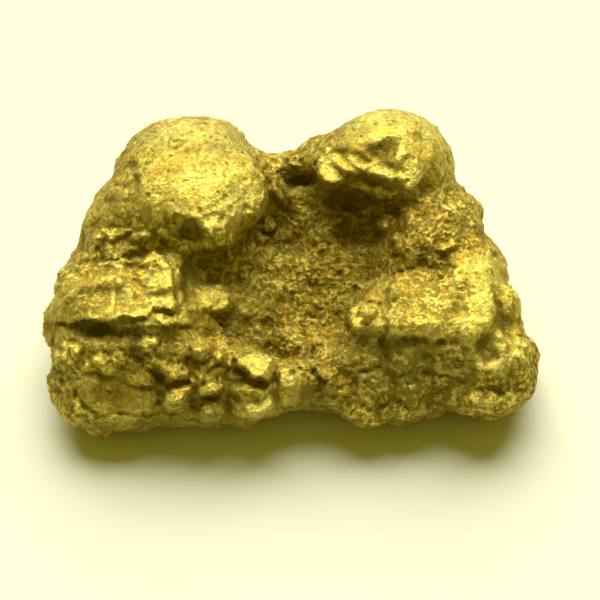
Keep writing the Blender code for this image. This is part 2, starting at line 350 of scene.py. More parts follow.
# A ledge: its path (u, v), how far the plate on the path's left stands up, how far the ground on
# its right is cut back, and how wide that cut is.
LEDGES = {"show": dict(
    left_crown_lip=(
        [(-6.55, 4.45), (-6.4, 3.95), (-6.15, 4.3), (-5.9, 4.2), (-5.6, 3.9), (-5.3, 4.1),
         (-5.1, 3.6), (-4.75, 3.4), (-4.3, 3.1), (-3.85, 2.6), (-3.5, 2.6), (-3.1, 3),
         (-2.6, 3.4)], 0.16, 0.4, 0.4,
    ),
    left_block_edge=(
        [(-12.4, -1.1), (-11.7, -1), (-11, -1.05), (-10.3, -0.9), (-9.6, -1.1), (-9.1, -1),
         (-8.9, -0.7), (-8.2, -0.75), (-7.4, -0.6), (-6.9, -0.4), (-6.4, -0.6), (-6, -0.9)],
        0.16, 0.35, 0.3,
    ),
    thin_ledge=([(-6.9, -1.35), (-6.2, -1.2), (-5.6, -1.2), (-5.2, -1.3)], 0.18, 0.3, 0.2),
    left_ridge_edge=(
        [(-5.9, -0.5), (-6.2, 0.1), (-6.2, 0.8), (-6.3, 1.5), (-6.8, 2.1), (-7.4, 2.35),
         (-8.2, 2.1), (-8.9, 1.9), (-9.8, 2), (-11, 1.6)], 0.22, 0.3, 0.3,
    ),
    right_plate_edge=(
        [(3.9, -1.5), (4.3, -1.75), (4.9, -1.85), (5.5, -1.8), (6.2, -1.85), (7, -1.95),
         (7.4, -2.2)], 0.16, 0.08, 0.3,
    ),
    right_plate_back=(
        [(7.5, 1.15), (6.75, 1.5), (5.75, 1.5), (5, 1.25), (4.4, 0.75), (4.15, 0)],
        0.16, 0.25, 0.3,
    ),
    ridge_edge=(
        [(0.65, 6.75), (0.85, 6.2), (1.1, 5.85), (1.6, 5.75), (2, 5.8), (2.6, 5.55), (3.1, 5.4),
         (3.6, 5.2), (4.2, 5), (4.7, 5.1), (5.2, 5.4)], 0.18, 0.22, 0.35,
    ),
    ridge_upper_edge=(
        [(2.3, 6.7), (2.7, 6.9), (3.1, 6.55), (3.6, 6.2), (4, 6), (4.5, 5.9), (4.9, 6.1)],
        0.14, 0.25, 0.22,
    ),
    crescent_edge=(
        [(-3.3, -2.6), (-3, -3.2), (-2.3, -3.75), (-1.6, -3.95)], 0.38, 0.35, 0.38,
    ),
    boulder_cap_edge=(
        [(-3.3, -4.5), (-2.8, -4.7), (-2.3, -4.6), (-1.9, -4.8)], 0.28, 0.2, 0.3,
    ),
    facet_edge=(
        [(-10.9, -3.35), (-9.9, -3.5), (-8.8, -3.75), (-7.8, -4), (-7.2, -4.2)],
        0.16, 0.22, 0.3,
    ),
    facet_foot=(
        [(-7, -5.6), (-8.6, -5.75), (-10, -5.6), (-10.9, -5), (-11.1, -4.3)], 0.1, 0.18, 0.25,
    ),
), "back": dict(
    ledge_edge=(
        [(-1.6, -1.1), (-0.6, -1.35), (0.5, -1.25), (1.5, -1), (2.2, -0.7)], 0.18, 0.3, 0.3,
    ),
    crown_step=(
        [(3.3, 1.8), (4.2, 1.5), (5, 1.05), (5.8, 1), (6.7, 0.6), (7.3, 0.7)], 0.18, 0.22, 0.3,
    ),
    crown_low_step=(
        [(4.6, -0.9), (5.4, -0.6), (6.2, -0.8), (6.9, -1.3), (7.6, -1.2)], 0.2, 0.3, 0.25,
    ),
    shoulder_step=(
        [(-6.7, 0.3), (-5.9, 0.9), (-5.2, 1), (-4.5, 1.5), (-3.9, 1.6)], 0.16, 0.2, 0.3,
    ),
    shoulder_low_step=(
        [(-7.4, -1), (-6.6, -0.7), (-5.7, -1.1), (-4.9, -0.9)], 0.2, 0.3, 0.25,
    ),
), "left_end": dict(
    lip=(
        [(-3.8, -0.2), (-2.6, -0.5), (-1.2, -0.4), (0.2, -0.6), (1.6, -0.4)], 0.18, 0.3, 0.3,
    ),
), "right_end": dict(
    lip=(
        [(-2.6, 0.2), (-1.2, -0.2), (0.4, 0), (1.8, -0.3), (3.2, -0.1)], 0.16, 0.28, 0.3,
    ),
)}

# A terrace, ground brought nearer level: its middle (u, v), half sizes, turn, and the share of
# its slope that is taken away.
TERRACES = {"show": dict(
    crescent=((-2.2, -3.3), (1.05, 0.75), -25, 0.75),
    boulder_top=((-2.65, -4.35), (0.75, 0.36), 0, 0.75),
    middle_nub=((-4.25, 0.05), (0.95, 0.72), -30, 0.85),
    right_nub=((3.25, -0.9), (0.98, 0.74), 20, 0.95),
    boulder_foot=((-2, -5.2), (0.85, 0.6), 0, 0.65),
    corner=((9.4, -4.9), (1.3, 0.7), 5, 0.5),
    tongue=((-4.25, 3.7), (0.8, 0.7), -35, 0.6),
    tongue_tip=((-3.95, 3), (0.42, 0.42), -35, 0.6),
    ridge_plate=((1.65, 6.7), (0.85, 0.95), 0, 0.8),
    ridge_band=((4.1, 6.5), (1.4, 0.55), -18, 0.8),
    ridge_strip=((3.3, 5.85), (1.5, 0.42), -22, 0.5),
    ridge_top=((2.6, 6.95), (1, 0.6), -12, 0.8),
    pale_plate=((5.5, 6.4), (0.6, 0.95), 0, 0.5),
    left_ridge=((-6.95, 1.4), (1.2, 1.15), 0, 0.8),
    left_ridge_foot=((-6.4, 0.1), (0.7, 0.7), 0, 0.55),
    bright_block=((-9.7, -2.95), (0.6, 0.42), -10, 0.75),
    ring_pebble=((-7.5, -2.1), (0.62, 0.36), 0, 0.6),
    ring_crumb=((-4.75, -2.3), (0.6, 0.34), 0, 0.65),
    block=((-4.45, -4.35), (0.68, 0.42), 10, 0.75),
    slope_shelf_a=((-9.7, 3.4), (0.8, 0.34), 15, 0.6),
    slope_shelf_b=((-8, 3.2), (0.75, 0.32), 5, 0.6),
    slope_shelf_c=((-10.3, 2.4), (0.7, 0.3), 20, 0.5),
    pebble_a=((-6, -4.5), (0.66, 0.45), 35, 0.7),
    orange_block=((-6.2, -3.5), (0.7, 0.45), 0, 0.6),
    crumbs=((-7, -3), (0.65, 0.4), -20, 0.6),
    side_plate=((9, 0.4), (0.9, 2), 0, 0.45),
    crystal_a=((4.2, 3.8), (0.42, 0.34), 30, 0.8),
    crystal_b=((2, 1.6), (0.3, 0.22), 0, 0.8),
    crystal_c=((3, 0.7), (0.3, 0.28), 0, 0.8),
    crystal_d=((4.9, 3.1), (0.28, 0.24), 0, 0.8),
    slope_plate=((7.2, 2.7), (0.7, 0.36), 8, 0.7),
    gap_lump=((-1.5, 3.9), (0.4, 0.45), 0, 0.5),
    saddle_lump=((-0.5, 6.9), (0.5, 0.36), 0, 0.5),
)}

# A crack: its path (u, v), its width and its depth.
CRACKS = {"show": dict(
    left_crack=(
        [(-12.5, -1.35), (-11.4, -1.5), (-10.4, -1.55), (-9.2, -1.5), (-8.4, -1.6),
         (-7.6, -1.5)], 0.4, 0.14,
    ),
    nub_gap=([(-5.7, 1.9), (-5.7, 0.9), (-5.6, 0.1), (-5.3, -0.5)], 0.26, 0.34),
    nub_plate_gap=([(4.15, 0.4), (4.1, -0.5), (4.2, -1.4), (4.1, -2.2)], 0.15, 0.34),
    left_block_seam=([(-9.1, 0.9), (-9, 0.2), (-9.2, -0.6)], 0.07, 0.18),
    facet_side=([(-7.2, -4.2), (-6.9, -4.7), (-7.2, -5.6)], 0.1, 0.25),
    chunk_gap_a=([(-8.1, -2.1), (-8.1, -2.8), (-7, -3.4), (-6.9, -4.2)], 0.14, 0.34),
    chunk_gap_b=([(-5.4, -2), (-5.5, -3), (-5.3, -3.9), (-5.3, -5)], 0.14, 0.34),
    chunk_gap_c=(
        [(-5.2, -3.4), (-4.4, -3.6), (-3.8, -3.3), (-3.4, -3.9), (-3.5, -5)], 0.11, 0.35,
    ),
    plate_crease=([(7.9, 1.5), (8.2, 0.9), (8.4, 0.1), (8.6, -0.8)], 0.1, 0.16),
    rim_crease=([(9.2, 2), (9.6, 0.9), (9.8, -0.3), (10, -1.4), (10.3, -2.6)], 0.09, 0.22),
    rim_crease_b=([(10.1, 1.6), (10.5, 0.4), (10.8, -0.8), (11, -2)], 0.08, 0.2),
    rim_crack=([(10.6, -2.8), (10.4, -3.7), (10.2, -4.4), (9.5, -4.9)], 0.07, 0.25),
    front_crease=([(4, -1.8), (4.2, -2.6), (4.4, -3.3)], 0.1, 0.22),
    front_fold_a=([(2, -3.2), (3, -3.5), (4.1, -3.4), (5.2, -3.7)], 0.08, 0.12),
    front_fold_b=([(5.2, -3.7), (6.4, -3.5), (7.4, -3.8), (8.2, -4.5)], 0.08, 0.12),
    toe_crease=([(0.3, -3), (0.9, -3.9), (1, -4.8)], 0.14, 0.4),
    toe_crease_b=([(-1.3, -3.6), (-1.3, -4.6), (-1.1, -5.4)], 0.1, 0.3),
    boulder_gap=([(-1.2, -3.9), (-1.9, -4.15), (-2.9, -4.1), (-3.4, -3.9)], 0.1, 0.3),
), "back": dict(
    crack=([(3.9, 1), (3.5, 0), (3.8, -1), (3.2, -2.2)], 0.12, 0.3),
    seam=([(-9.5, -0.6), (-8, -1.1), (-6.6, -0.9), (-5.2, -1.3)], 0.1, 0.25),
    split=([(-2, 1.8), (-2.3, 0.9), (-1.7, 0)], 0.1, 0.25),
    crown_crack=([(6.6, 3.1), (6.1, 2.2), (6.5, 1.2)], 0.09, 0.2),
    shoulder_crack=([(-4.3, 3.1), (-4.9, 2.3), (-4.6, 1.6)], 0.09, 0.2),
), "left_end": dict(
    split=([(2, 0.6), (2.4, -0.6), (2, -1.8), (2.5, -3)], 0.12, 0.3),
    seam=([(-6.2, 0.4), (-5.2, -0.1), (-4.4, -0.9)], 0.1, 0.25),
), "right_end": dict(
    split=([(-0.6, 1), (-0.9, -0.4), (-0.4, -1.6), (-0.8, -3)], 0.12, 0.3),
    seam=([(3.8, 1.2), (4.4, 0.2), (4, -0.8)], 0.1, 0.25),
)}

# A pebble: its middle (u, v), half sizes, how far it stands proud, and its turn.
PEBBLES = {"show": dict(
    flake=((-1.1, 5.3), (0.75, 0.22), 0.45, -60),
    saddle_crumb=((-0.4, 6.9), (0.35, 0.25), 0.25, 0),
    saddle_crumb_b=((-1.2, 6.8), (0.4, 0.3), 0.2, 20),
    shoulder_plate_a=((-8.9, 6.2), (0.5, 0.42), 0.15, 20),
    shoulder_plate_b=((-9, 5.3), (0.45, 0.35), 0.15, -20),
    gap_lump_a=((-1.5, 3.9), (0.4, 0.45), 0.25, 0),
    gap_lump_b=((-1.9, 3.15), (0.4, 0.3), 0.22, 0),
    slope_arch_a=((-9.2, 3.3), (0.7, 0.35), 0.2, 15),
    slope_arch_b=((-7.9, 3.15), (0.6, 0.3), 0.2, 10),
    slope_arch_c=((-10.4, 2.9), (0.6, 0.35), 0.2, 25),
    middle_nub=((-4.25, 0.05), (0.95, 0.72), 0.12, -30),
    nose_curl=((-11.1, -2.5), (0.3, 0.45), 0.25, 20),
    nose=((-11.5, -2.8), (0.75, 0.7), 0.15, 0),
    bright_block=((-9.8, -3), (0.5, 0.36), 0.32, -10),
    bright_block_2=((-8.8, -2.95), (0.42, 0.38), 0.25, 0),
    ring_pebble=((-7.5, -2.15), (0.62, 0.42), 0.3, 10),
    crumbs_a=((-7.2, -3), (0.42, 0.36), 0.25, 0),
    crumbs_b=((-6.7, -3.35), (0.34, 0.3), 0.22, 0),
    pebble_a=((-6, -4.85), (0.8, 0.62), 0.3, 35),
    orange_block=((-6.1, -3.65), (0.65, 0.5), 0.24, 0),
    ring_crumb=((-4.9, -2.5), (0.65, 0.6), 0.28, 0),
    ring_crumb_2=((-3.85, -2.75), (0.35, 0.3), 0.28, 0),
    block=((-4.4, -4.4), (0.58, 0.4), 0.25, 10),
    inner_pebble=((-4.35, -5.5), (0.75, 0.6), 0.28, 0),
    crescent=((-2.1, -3.2), (1, 0.62), 0.25, -25),
    boulder_cap=((-2.5, -4.55), (0.85, 0.45), 0.25, 0),
    front_boulder=((-2.3, -5.2), (1.15, 0.85), 0.18, 0),
    nub_a=((3.35, -0.65), (0.55, 0.45), 0.4, 20),
    nub_b=((2.75, -1.25), (0.45, 0.36), 0.32, 20),
    nub_c=((3.75, -1.25), (0.38, 0.32), 0.3, 20),
    toe_leaf=((1.4, -4), (0.42, 0.7), 0.16, 12),
    toe_leaf_b=((2.1, -4.4), (0.5, 0.6), 0.14, -15),
    toe_dome=((-0.5, -4.3), (0.75, 0.95), 0.2, 0),
    lobe_a=((3, -2.6), (1.15, 0.95), 0.07, 0),
    lobe_b=((5.3, -2.8), (1.15, 0.95), 0.07, 0),
    lobe_c=((7.2, -2.8), (0.85, 0.7), 0.06, 0),
    lobe_d=((3.7, -4.4), (0.95, 0.8), 0.08, 0),
    lobe_e=((5.6, -4.4), (0.95, 0.85), 0.08, 0),
    lobe_f=((2.8, -5.7), (0.9, 0.45), 0.12, -10),
    lobe_g=((7.3, -4.5), (0.8, 0.65), 0.08, 0),
    lobe_h=((9, -4.9), (0.9, 0.55), 0.12, 8),
    lobe_i=((4.6, -5.5), (0.7, 0.4), 0.12, 5),
    lip_tooth_a=((-6.35, 3.6), (0.22, 0.35), 0.22, 0),
    lip_tooth_b=((-5.35, 3.55), (0.35, 0.35), 0.16, 0),
    recess_crumb_a=((-5.75, 2.5), (0.3, 0.26), 0.2, 0),
    recess_crumb_b=((-5.85, 1.95), (0.34, 0.38), 0.2, 0),
    recess_crumb_c=((-6.85, 3.3), (0.36, 0.34), 0.25, 0),
    gap_sliver=((-3.2, 2.55), (0.65, 0.16), 0.22, 35),
    gap_knob=((-2.85, 2.75), (0.25, 0.4), 0.22, 0),
    edge_nub=((9.6, 2.9), (0.35, 0.6), 0.2, 20),
    slope_plate=((7.3, 2.6), (0.55, 0.3), 0.25, 10),
    crystal_a=((4.2, 3.8), (0.34, 0.32), 0.3, 0),
    crystal_b=((1.9, 1.6), (0.24, 0.22), 0.22, 0),
    crystal_c=((2.9, 0.65), (0.26, 0.28), 0.25, 0),
    crystal_d=((4.8, 3), (0.24, 0.22), 0.22, 0),
    crystal_e=((2, 4), (0.3, 0.25), 0.2, 30),
), "back": dict(
    crumb_a=((-0.4, 0.2), (0.6, 0.45), 0.25, 10),
    crumb_b=((0.9, -2.1), (0.7, 0.45), 0.25, -10),
    crumb_c=((-3.9, -2.4), (0.65, 0.45), 0.25, 15),
    crumb_d=((4.6, -2), (0.6, 0.5), 0.25, 0),
    crumb_e=((-1.9, -2.6), (0.55, 0.4), 0.22, 0),
    crumb_f=((3, 0.9), (0.5, 0.35), 0.2, 25),
    crumb_g=((7.4, -0.4), (0.55, 0.4), 0.2, -20),
    crumb_h=((-6.9, 0.9), (0.45, 0.32), 0.18, 0),
    toe_plate=((7.6, -2.4), (0.8, 0.5), 0.2, 0),
), "left_end": dict(
    crumb_a=((-0.2, -1.6), (0.6, 0.45), 0.25, 0),
    crumb_b=((0.9, -2.4), (0.7, 0.45), 0.22, 10),
    crumb_c=((-2.6, -2.2), (0.6, 0.5), 0.22, -10),
    plate=((3.8, -0.4), (0.9, 0.6), 0.18, 0),
), "right_end": dict(
    crumb_a=((1.6, -1.4), (0.6, 0.45), 0.25, 0),
    crumb_b=((0.8, -2.4), (0.6, 0.5), 0.22, -12),
    crumb_c=((-2.4, -1), (0.7, 0.45), 0.22, 10),
    plate=((5.8, 0.4), (1, 0.6), 0.15, 0),
)}

# A pit: its middle (u, v), half sizes, depth, and its turn.
PITS = {"show": dict(
    shoulder_pit_a=((-8.4, 6.8), (0.34, 0.24), 0.3, -30),
    shoulder_pit_b=((-8.15, 5.95), (0.22, 0.36), 0.28, 10),
    shoulder_pit_c=((-9.75, 5), (0.36, 0.26), 0.32, 0),
    crown_dent_a=((-6.1, 7.75), (0.26, 0.13), 0.08, 0),
    crown_dent_b=((-5.6, 7.45), (0.4, 0.13), 0.08, 5),
    crown_dent_c=((-5.15, 7.7), (0.24, 0.14), 0.08, 0),
    tongue_hole_a=((-4.2, 3.5), (0.15, 0.26), 0.2, 25),
    tongue_hole_b=((-3.95, 4), (0.14, 0.2), 0.16, 0),
    tongue_hole_c=((-3.55, 3.65), (0.2, 0.14), 0.18, -30),
    tongue_hole_d=((-3.4, 4.6), (0.16, 0.2), 0.18, 30),
    tongue_hole_e=((-2.7, 4.6), (0.2, 0.26), 0.22, 20),
    brown_pit=((-8.1, 1.5), (0.65, 0.36), 0.2, 0),
    nub_pit=((-4.6, 0), (0.2, 0.14), 0.14, -20),
    hump_pit_a=((3.9, 7.35), (0.7, 0.42), 0.15, -12),
    hump_pit_b=((4.5, 7.7), (0.6, 0.45), 0.16, 25),
    hump_spot_a=((6, 8.3), (0.3, 0.18), 0.16, 0),
    hump_spot_b=((5.55, 8.45), (0.18, 0.16), 0.12, 0),
    lip_gap=((-2.2, 4.1), (0.35, 0.22), 0.3, 0),
    lip_gap_b=((-1.7, 3.5), (0.25, 0.2), 0.25, 0),
    crumb_hole=((0.75, -2.5), (0.28, 0.48), 0.5, 0),
    crumb_hole_b=((-0.1, -3.55), (0.42, 0.25), 0.4, 0),
    notch=((-3.1, -3.45), (0.55, 0.3), 0.18, -35),
    shiny_pit=((9.35, -2.35), (0.75, 0.7), 0.36, 20),
    saddle_hole=((-0.1, 6), (0.8, 0.4), 0.3, 10),
), "back": dict(
    hole_a=((-3.5, 2.3), (0.26, 0.18), 0.18, 15),
    hole_b=((7.6, 1.9), (0.24, 0.18), 0.18, -20),
    hole_c=((-1.2, -0.6), (0.45, 0.3), 0.28, 0),
    hole_d=((2.6, 0.6), (0.3, 0.45), 0.25, 10),
), "left_end": dict(
    hole_a=((-1.8, 1.2), (0.4, 0.28), 0.22, 0),
    hole_b=((4.6, -1.4), (0.36, 0.3), 0.22, 20),
), "right_end": dict(
    hole_a=((2.2, 0.9), (0.4, 0.28), 0.22, 0),
    hole_b=((-3, -2.4), (0.36, 0.3), 0.22, -15),
)}

# Soft ovals: middle (u, v), half sizes, turn, strength.
BURNISHED = {
    "show": [
        ((-5.4, 6.2), (3.8, 3.6), 0, 1), ((4.6, 8.6), (3.4, 2), -10, 1),
        ((5.8, 6.4), (1, 1.4), 0, 0.9), ((8.5, 0), (1.4, 2.6), 0, 0.8),
        ((10, 0), (1.3, 3.4), 8, 0.9), ((-9.1, -4.7), (2.2, 1.2), -4, 0.8),
        ((-2.3, -4.4), (1.4, 2), 0, 0.95), ((9.3, -2.6), (1, 1), 0, 1),
        ((-6, -3.6), (3.4, 2.2), 0, 0.25), ((-9, 0.2), (3.2, 1.7), 0, 0.35),
        ((-6.2, 0.8), (0.8, 1.6), 8, 0.8), ((-4.3, 0.1), (1, 0.8), 0, 0.8),
        ((2, 6.6), (1.3, 1), -15, 0.8), ((4, 5.8), (1.3, 0.7), -25, 0.8),
        ((-10, -2.8), (2.4, 0.8), 0, 0.25), ((5.6, -1.5), (1.8, 0.5), 0, 0.7),
        ((-0.5, -4.3), (0.9, 1.1), 0, 0.8),
    ],
    "back": [
        ((5.4, 2.8), (3.2, 1.2), 0, 0.6), ((-4.4, 3), (2.8, 1), 0, 0.6),
        ((6.4, -2.2), (1.2, 0.8), 0, 0.6),
    ],
    "left_end": [((-4.6, 1.4), (3, 2.2), 0, 0.6), ((1.4, 0.8), (2.4, 1), 0, 0.6)],
    "right_end": [((5, 1.6), (3, 2.2), 0, 0.6), ((-1.4, 0.9), (2.4, 1), 0, 0.6)],
}
# Polish and painted light: ovals where the gold is made brighter and cleaner. This is partly real
# polish on worn high spots, and partly painted light that lifts shade in recesses and paints
# highlights on surfaces the light misses.
POLISH_AND_PAINTED_LIGHT = {
    "show": [
        ((-4.2, 4.9), (3.2, 1.5), 0, 1), ((-3.8, 3.3), (1.1, 1.1), -30, 1),
        ((-3.9, 1.6), (1.8, 1), -10, 0.9), ((-5.7, 3.2), (1.2, 0.9), 0, 0.6),
        ((2, 4.6), (2.2, 1.6), 0, 0.35), ((9.4, -4.6), (1.6, 0.8), 0, 0.5),
        ((-2, 2.4), (1, 1), 0, 0.6), ((-5.6, 7.1), (1.8, 0.22), 0, 0.5),
        ((-7.8, 5.8), (1.8, 2.2), 0, 0.32), ((-2.6, 6), (1.2, 2), 0, 0.35),
        ((4.6, 8.3), (1.6, 0.4), -8, 0.5), ((5.6, 6.6), (0.9, 1.6), 0, 0.75),
        ((1.65, 6.7), (0.95, 1.05), 0, 1), ((2.7, 6.9), (1, 0.6), -12, 1),
        ((4.1, 6.5), (1.5, 0.6), -18, 1), ((3.3, 5.85), (1.6, 0.45), -22, 0.5),
        ((7.6, 7), (1.2, 2.4), 20, 0.5), ((-6.9, 1.3), (1.3, 1.5), 8, 1),
        ((-9, 0.3), (2.8, 1.4), 0, 0.75), ((-6.4, -0.6), (1.2, 0.5), 0, 0.9),
        ((-4.3, 0.1), (1.3, 1), -30, 1), ((5.8, -0.1), (2.2, 1.6), 0, 0.55),
        ((5.6, -1.4), (1.8, 0.5), 0, 1), ((3.2, -0.9), (1.3, 1), 0, 1),
        ((8.5, 0.2), (1.3, 2.6), 0, 0.85), ((10.8, -1.2), (0.8, 2.4), 0, 0.5),
        ((9.7, 1.4), (0.6, 1.4), 8, 0.8), ((-2, -3.1), (1.1, 0.7), -25, 1),
        ((-2.4, -4.5), (0.9, 0.5), 0, 1), ((-2, -5.3), (1.1, 0.9), 0, 0.85),
        ((-9.6, -3), (0.8, 0.5), 0, 0.9), ((-11.2, -2.5), (0.4, 0.6), 0, 0.8),
        ((-4, -2.7), (1, 0.6), 0, 0.8), ((-6.9, -3.1), (0.7, 0.6), 0, 0.6),
        ((-5.8, -4.5), (0.6, 0.3), 30, 0.7), ((0.4, -1.9), (1.6, 0.8), 0, 0.5),
        ((-7.8, 3.2), (2.4, 0.8), 10, 0.45), ((4.2, 3.8), (0.45, 0.34), 30, 1),
        ((2, 1.6), (0.3, 0.24), 0, 1), ((3, 0.7), (0.3, 0.3), 0, 1),
        ((4.9, 3.1), (0.28, 0.24), 0, 1), ((9, 0.4), (1, 2.3), 0, 0.6),
        ((5.5, 6.4), (0.7, 1.1), 0, 0.8), ((-9.2, 3.4), (1.2, 0.3), 10, 0.7),
        ((7.4, 2.6), (0.8, 0.5), 0, 0.6),
    ],
    "back": [
        ((5.4, 1.4), (2.6, 1), 0, 0.6), ((-4.8, 1.8), (2.4, 1), 0, 0.6),
        ((0.4, -0.5), (1.6, 0.6), 8, 0.8), ((-7.6, -0.9), (1.1, 0.8), 30, 0.6),
        ((6.4, -2), (1.2, 0.6), 0, 0.6),
    ],
    "left_end": [((-1.2, -0.3), (2, 0.7), 0, 0.7), ((3.6, -1.8), (1.2, 0.6), 0, 0.6)],
    "right_end": [((2.6, -0.9), (2, 0.7), 0, 0.7), ((-1.8, -1.9), (1.2, 0.6), 0, 0.6)],
}
CRUMBLY = {
    "show": [
        ((-8.2, 3), (3.4, 1.6), 0, 0.9), ((-0.8, 6.4), (1.6, 1), 0, 0.8),
        ((-1.8, 3.2), (0.9, 1.2), 0, 0.7), ((4.6, -4.2), (4.6, 1.8), 0, 0.4),
        ((9, -4.6), (1.8, 1), 0, 0.5), ((0, -3), (1.6, 1), 0, 0.7),
        ((7.4, 4), (2.6, 2.6), -30, 0.5), ((-6.2, -2.6), (2.6, 1.2), 0, 0.3),
        ((-9.4, 6), (1.4, 1.6), 0, 0.4),
    ],
    "back": [
        ((0, -0.5), (4, 2.4), 0, 0.8), ((-7, -1.2), (3, 2), 0, 0.7), ((7, -1.8), (3, 1.6), 0, 0.7),
        ((2.6, 1.6), (1.2, 1.4), 0, 0.7),
    ],
    "left_end": [((0.5, -1.5), (5, 1.6), 0, 0.5)],
    "right_end": [((1.5, -1), (5, 1.8), 0, 0.5)],
}
SUGARY = {
    "show": [
        ((1.6, 2.6), (4.2, 4.4), 0, 1), ((6.6, 3.6), (3.4, 3.2), -35, 1),
        ((0.3, -2), (2.6, 2.6), 0, 1), ((5.8, -0.2), (2.2, 1.6), 0, 0.45),
        ((-3.8, 1.8), (2, 1.2), 0, 0.8),
    ],
}
STAINED = {
    "show": [
        ((-9.2, 0.5), (2.4, 1.2), 0, 0.9), ((-8, 0.9), (0.9, 0.9), 0, 1),
        ((-4.9, -2.8), (1.3, 1.3), 0, 0.9), ((-6.2, -3.6), (0.9, 0.7), 0, 1),
        ((-8.4, -4.6), (1.6, 0.8), 0, 0.6), ((0.2, -1.6), (2.2, 1.8), 0, 0.8),
        ((2, 1.4), (3.4, 3), 0, 0.5), ((5, 3.4), (2.6, 1.6), -20, 0.8),
        ((6, -0.4), (2.2, 1.6), 0, 0.35), ((1.4, 7), (0.6, 0.5), 0, 0.8),
        ((-6.7, 6.3), (0.7, 0.45), 0, 0.9), ((-4.8, 6.2), (0.55, 0.45), 0, 0.9),
        ((-5.6, 7.6), (0.85, 0.4), 0, 1), ((-3.6, 1.4), (1, 0.8), 0, 0.6),
    ],
    "back": [
        ((-5.6, -0.4), (2.2, 1.2), 0, 0.9), ((3.8, -1.2), (1.6, 1.6), 0, 0.8),
        ((-0.6, 0.8), (1.6, 0.8), 0, 0.8),
    ],
    "left_end": [((0.6, -1.2), (2.4, 1.2), 0, 0.8)],
    "right_end": [((3.6, 0.2), (2.4, 1.2), 0, 0.8)],
}
# Green-grey tarnish, and painted shade: the two wide ovals along the tops of the humps are painted
# shade that darkens them. The rest are tarnished patches.
TARNISH_AND_PAINTED_SHADE = {
    "show": [
        ((9.3, -2.7), (1, 1.1), 0, 1), ((7.8, -3.2), (1, 0.8), 0, 0.8),
        ((-2.2, -5.2), (1, 0.8), 0, 0.6), ((-7.5, -2.2), (0.8, 0.5), 0, 0.6),
        ((-8.2, -1.3), (0.9, 0.4), 0, 0.7), ((4, -3), (2.6, 1.2), 0, 0.5),
        ((-0.5, -4.4), (1.1, 1.3), 0, 0.6), ((-8, -5.8), (4, 0.6), 0, 0.5),
        ((-5.2, 8.3), (3.4, 1.1), 0, 1), ((4.8, 8.9), (3.2, 0.9), -8, 1),
        ((-7.6, 2.6), (1.4, 0.5), 0, 0.5),
    ],
    "back": [((0.6, -2.6), (6, 0.9), 0, 0.6), ((7.4, 0.2), (1.2, 1.4), 0, 0.5)],
    "left_end": [((-1, -2.8), (6, 0.8), 0, 0.6)],
    "right_end": [((1, -2.8), (6, 0.8), 0, 0.6)],
}
# Soil and painted shade: ovals turned dark brown, partly soil and partly painted shade in the
# hollow, under the ridge and under overhangs.
SOIL_AND_PAINTED_SHADE = {
    "show": [
        ((-5.7, 3.3), (1, 0.7), 0, 0.1), ((-3.4, -0.9), (1.6, 0.7), -25, 0.2),
        ((-10, -1.55), (2.6, 0.4), 0, 0.8), ((-7.6, -1.6), (1.8, 0.4), 0, 0.8),
        ((-5.6, 0.6), (0.5, 1.3), 0, 0.8), ((-8, -2.5), (0.3, 0.9), 0, 0.8),
        ((-6.9, -4.2), (0.3, 1.3), 0, 0.8), ((-5.5, -2.9), (0.5, 0.5), 0, 0.7),
        ((-3.9, -3.5), (0.9, 0.3), 0, 0.8), ((0, 6.2), (1.3, 0.6), 0, 0.7),
        ((0.2, 5.5), (1.5, 1.1), -15, 0.6), ((2.7, 7.75), (1.2, 0.22), 12, 0.5),
        ((5.9, 8.3), (0.5, 0.35), 0, 0.6), ((2, 4), (1.9, 1.8), 0, 0.3),
        ((9.4, -2.4), (0.5, 0.5), 0, 0.25), ((3.2, 5), (2.2, 0.5), -18, 0.3),
        ((3.8, 7.3), (0.8, 0.4), -12, 0.9), ((4.5, 7.8), (0.6, 0.35), 25, 0.9),
        ((2.6, 1.2), (2.2, 2.6), 0, 0.35), ((5.2, -2.3), (2.2, 0.5), 0, 0.6),
        ((4.2, -2.9), (0.4, 1.2), 0, 0.8), ((-3.2, -3.6), (0.7, 0.5), -30, 0.9),
        ((-6, -6.2), (7, 0.5), 2, 0.6), ((1, -3.8), (1.6, 1.4), 0, 0.4),
        ((-5.3, -3.7), (0.3, 1.2), 0, 0.8), ((-9.6, 4.9), (0.5, 0.4), 0, 0.8),
        ((-8.3, 6), (0.4, 0.6), 0, 0.7),
    ],
    "back": [
        ((2.4, -1), (0.5, 2), -12, 0.7), ((-2, 0.2), (0.9, 0.6), 20, 0.7),
        ((-5.6, -1.9), (2.2, 0.4), -6, 0.7), ((0.4, -1.6), (1.9, 0.35), 8, 0.7),
        ((0, -3.5), (10, 0.5), 0, 0.5),
    ],
    "left_end": [
        ((1.4, -1.4), (2.2, 0.4), -14, 0.7), ((-3.6, 0.6), (0.8, 0.6), 0, 0.6),
        ((0, -3.5), (8, 0.5), 0, 0.5),
    ],
    "right_end": [
        ((0.4, -1), (0.4, 1.5), 18, 0.7), ((4.6, 0.3), (0.8, 0.6), 0, 0.6),
        ((0, -3.5), (8, 0.5), 0, 0.5),
    ],
    "underside": [((-4.2, -1.5), (2.2, 1.8), 20, 0.8), ((4.4, -2.5), (0.9, 2.8), -25, 0.8)],
}
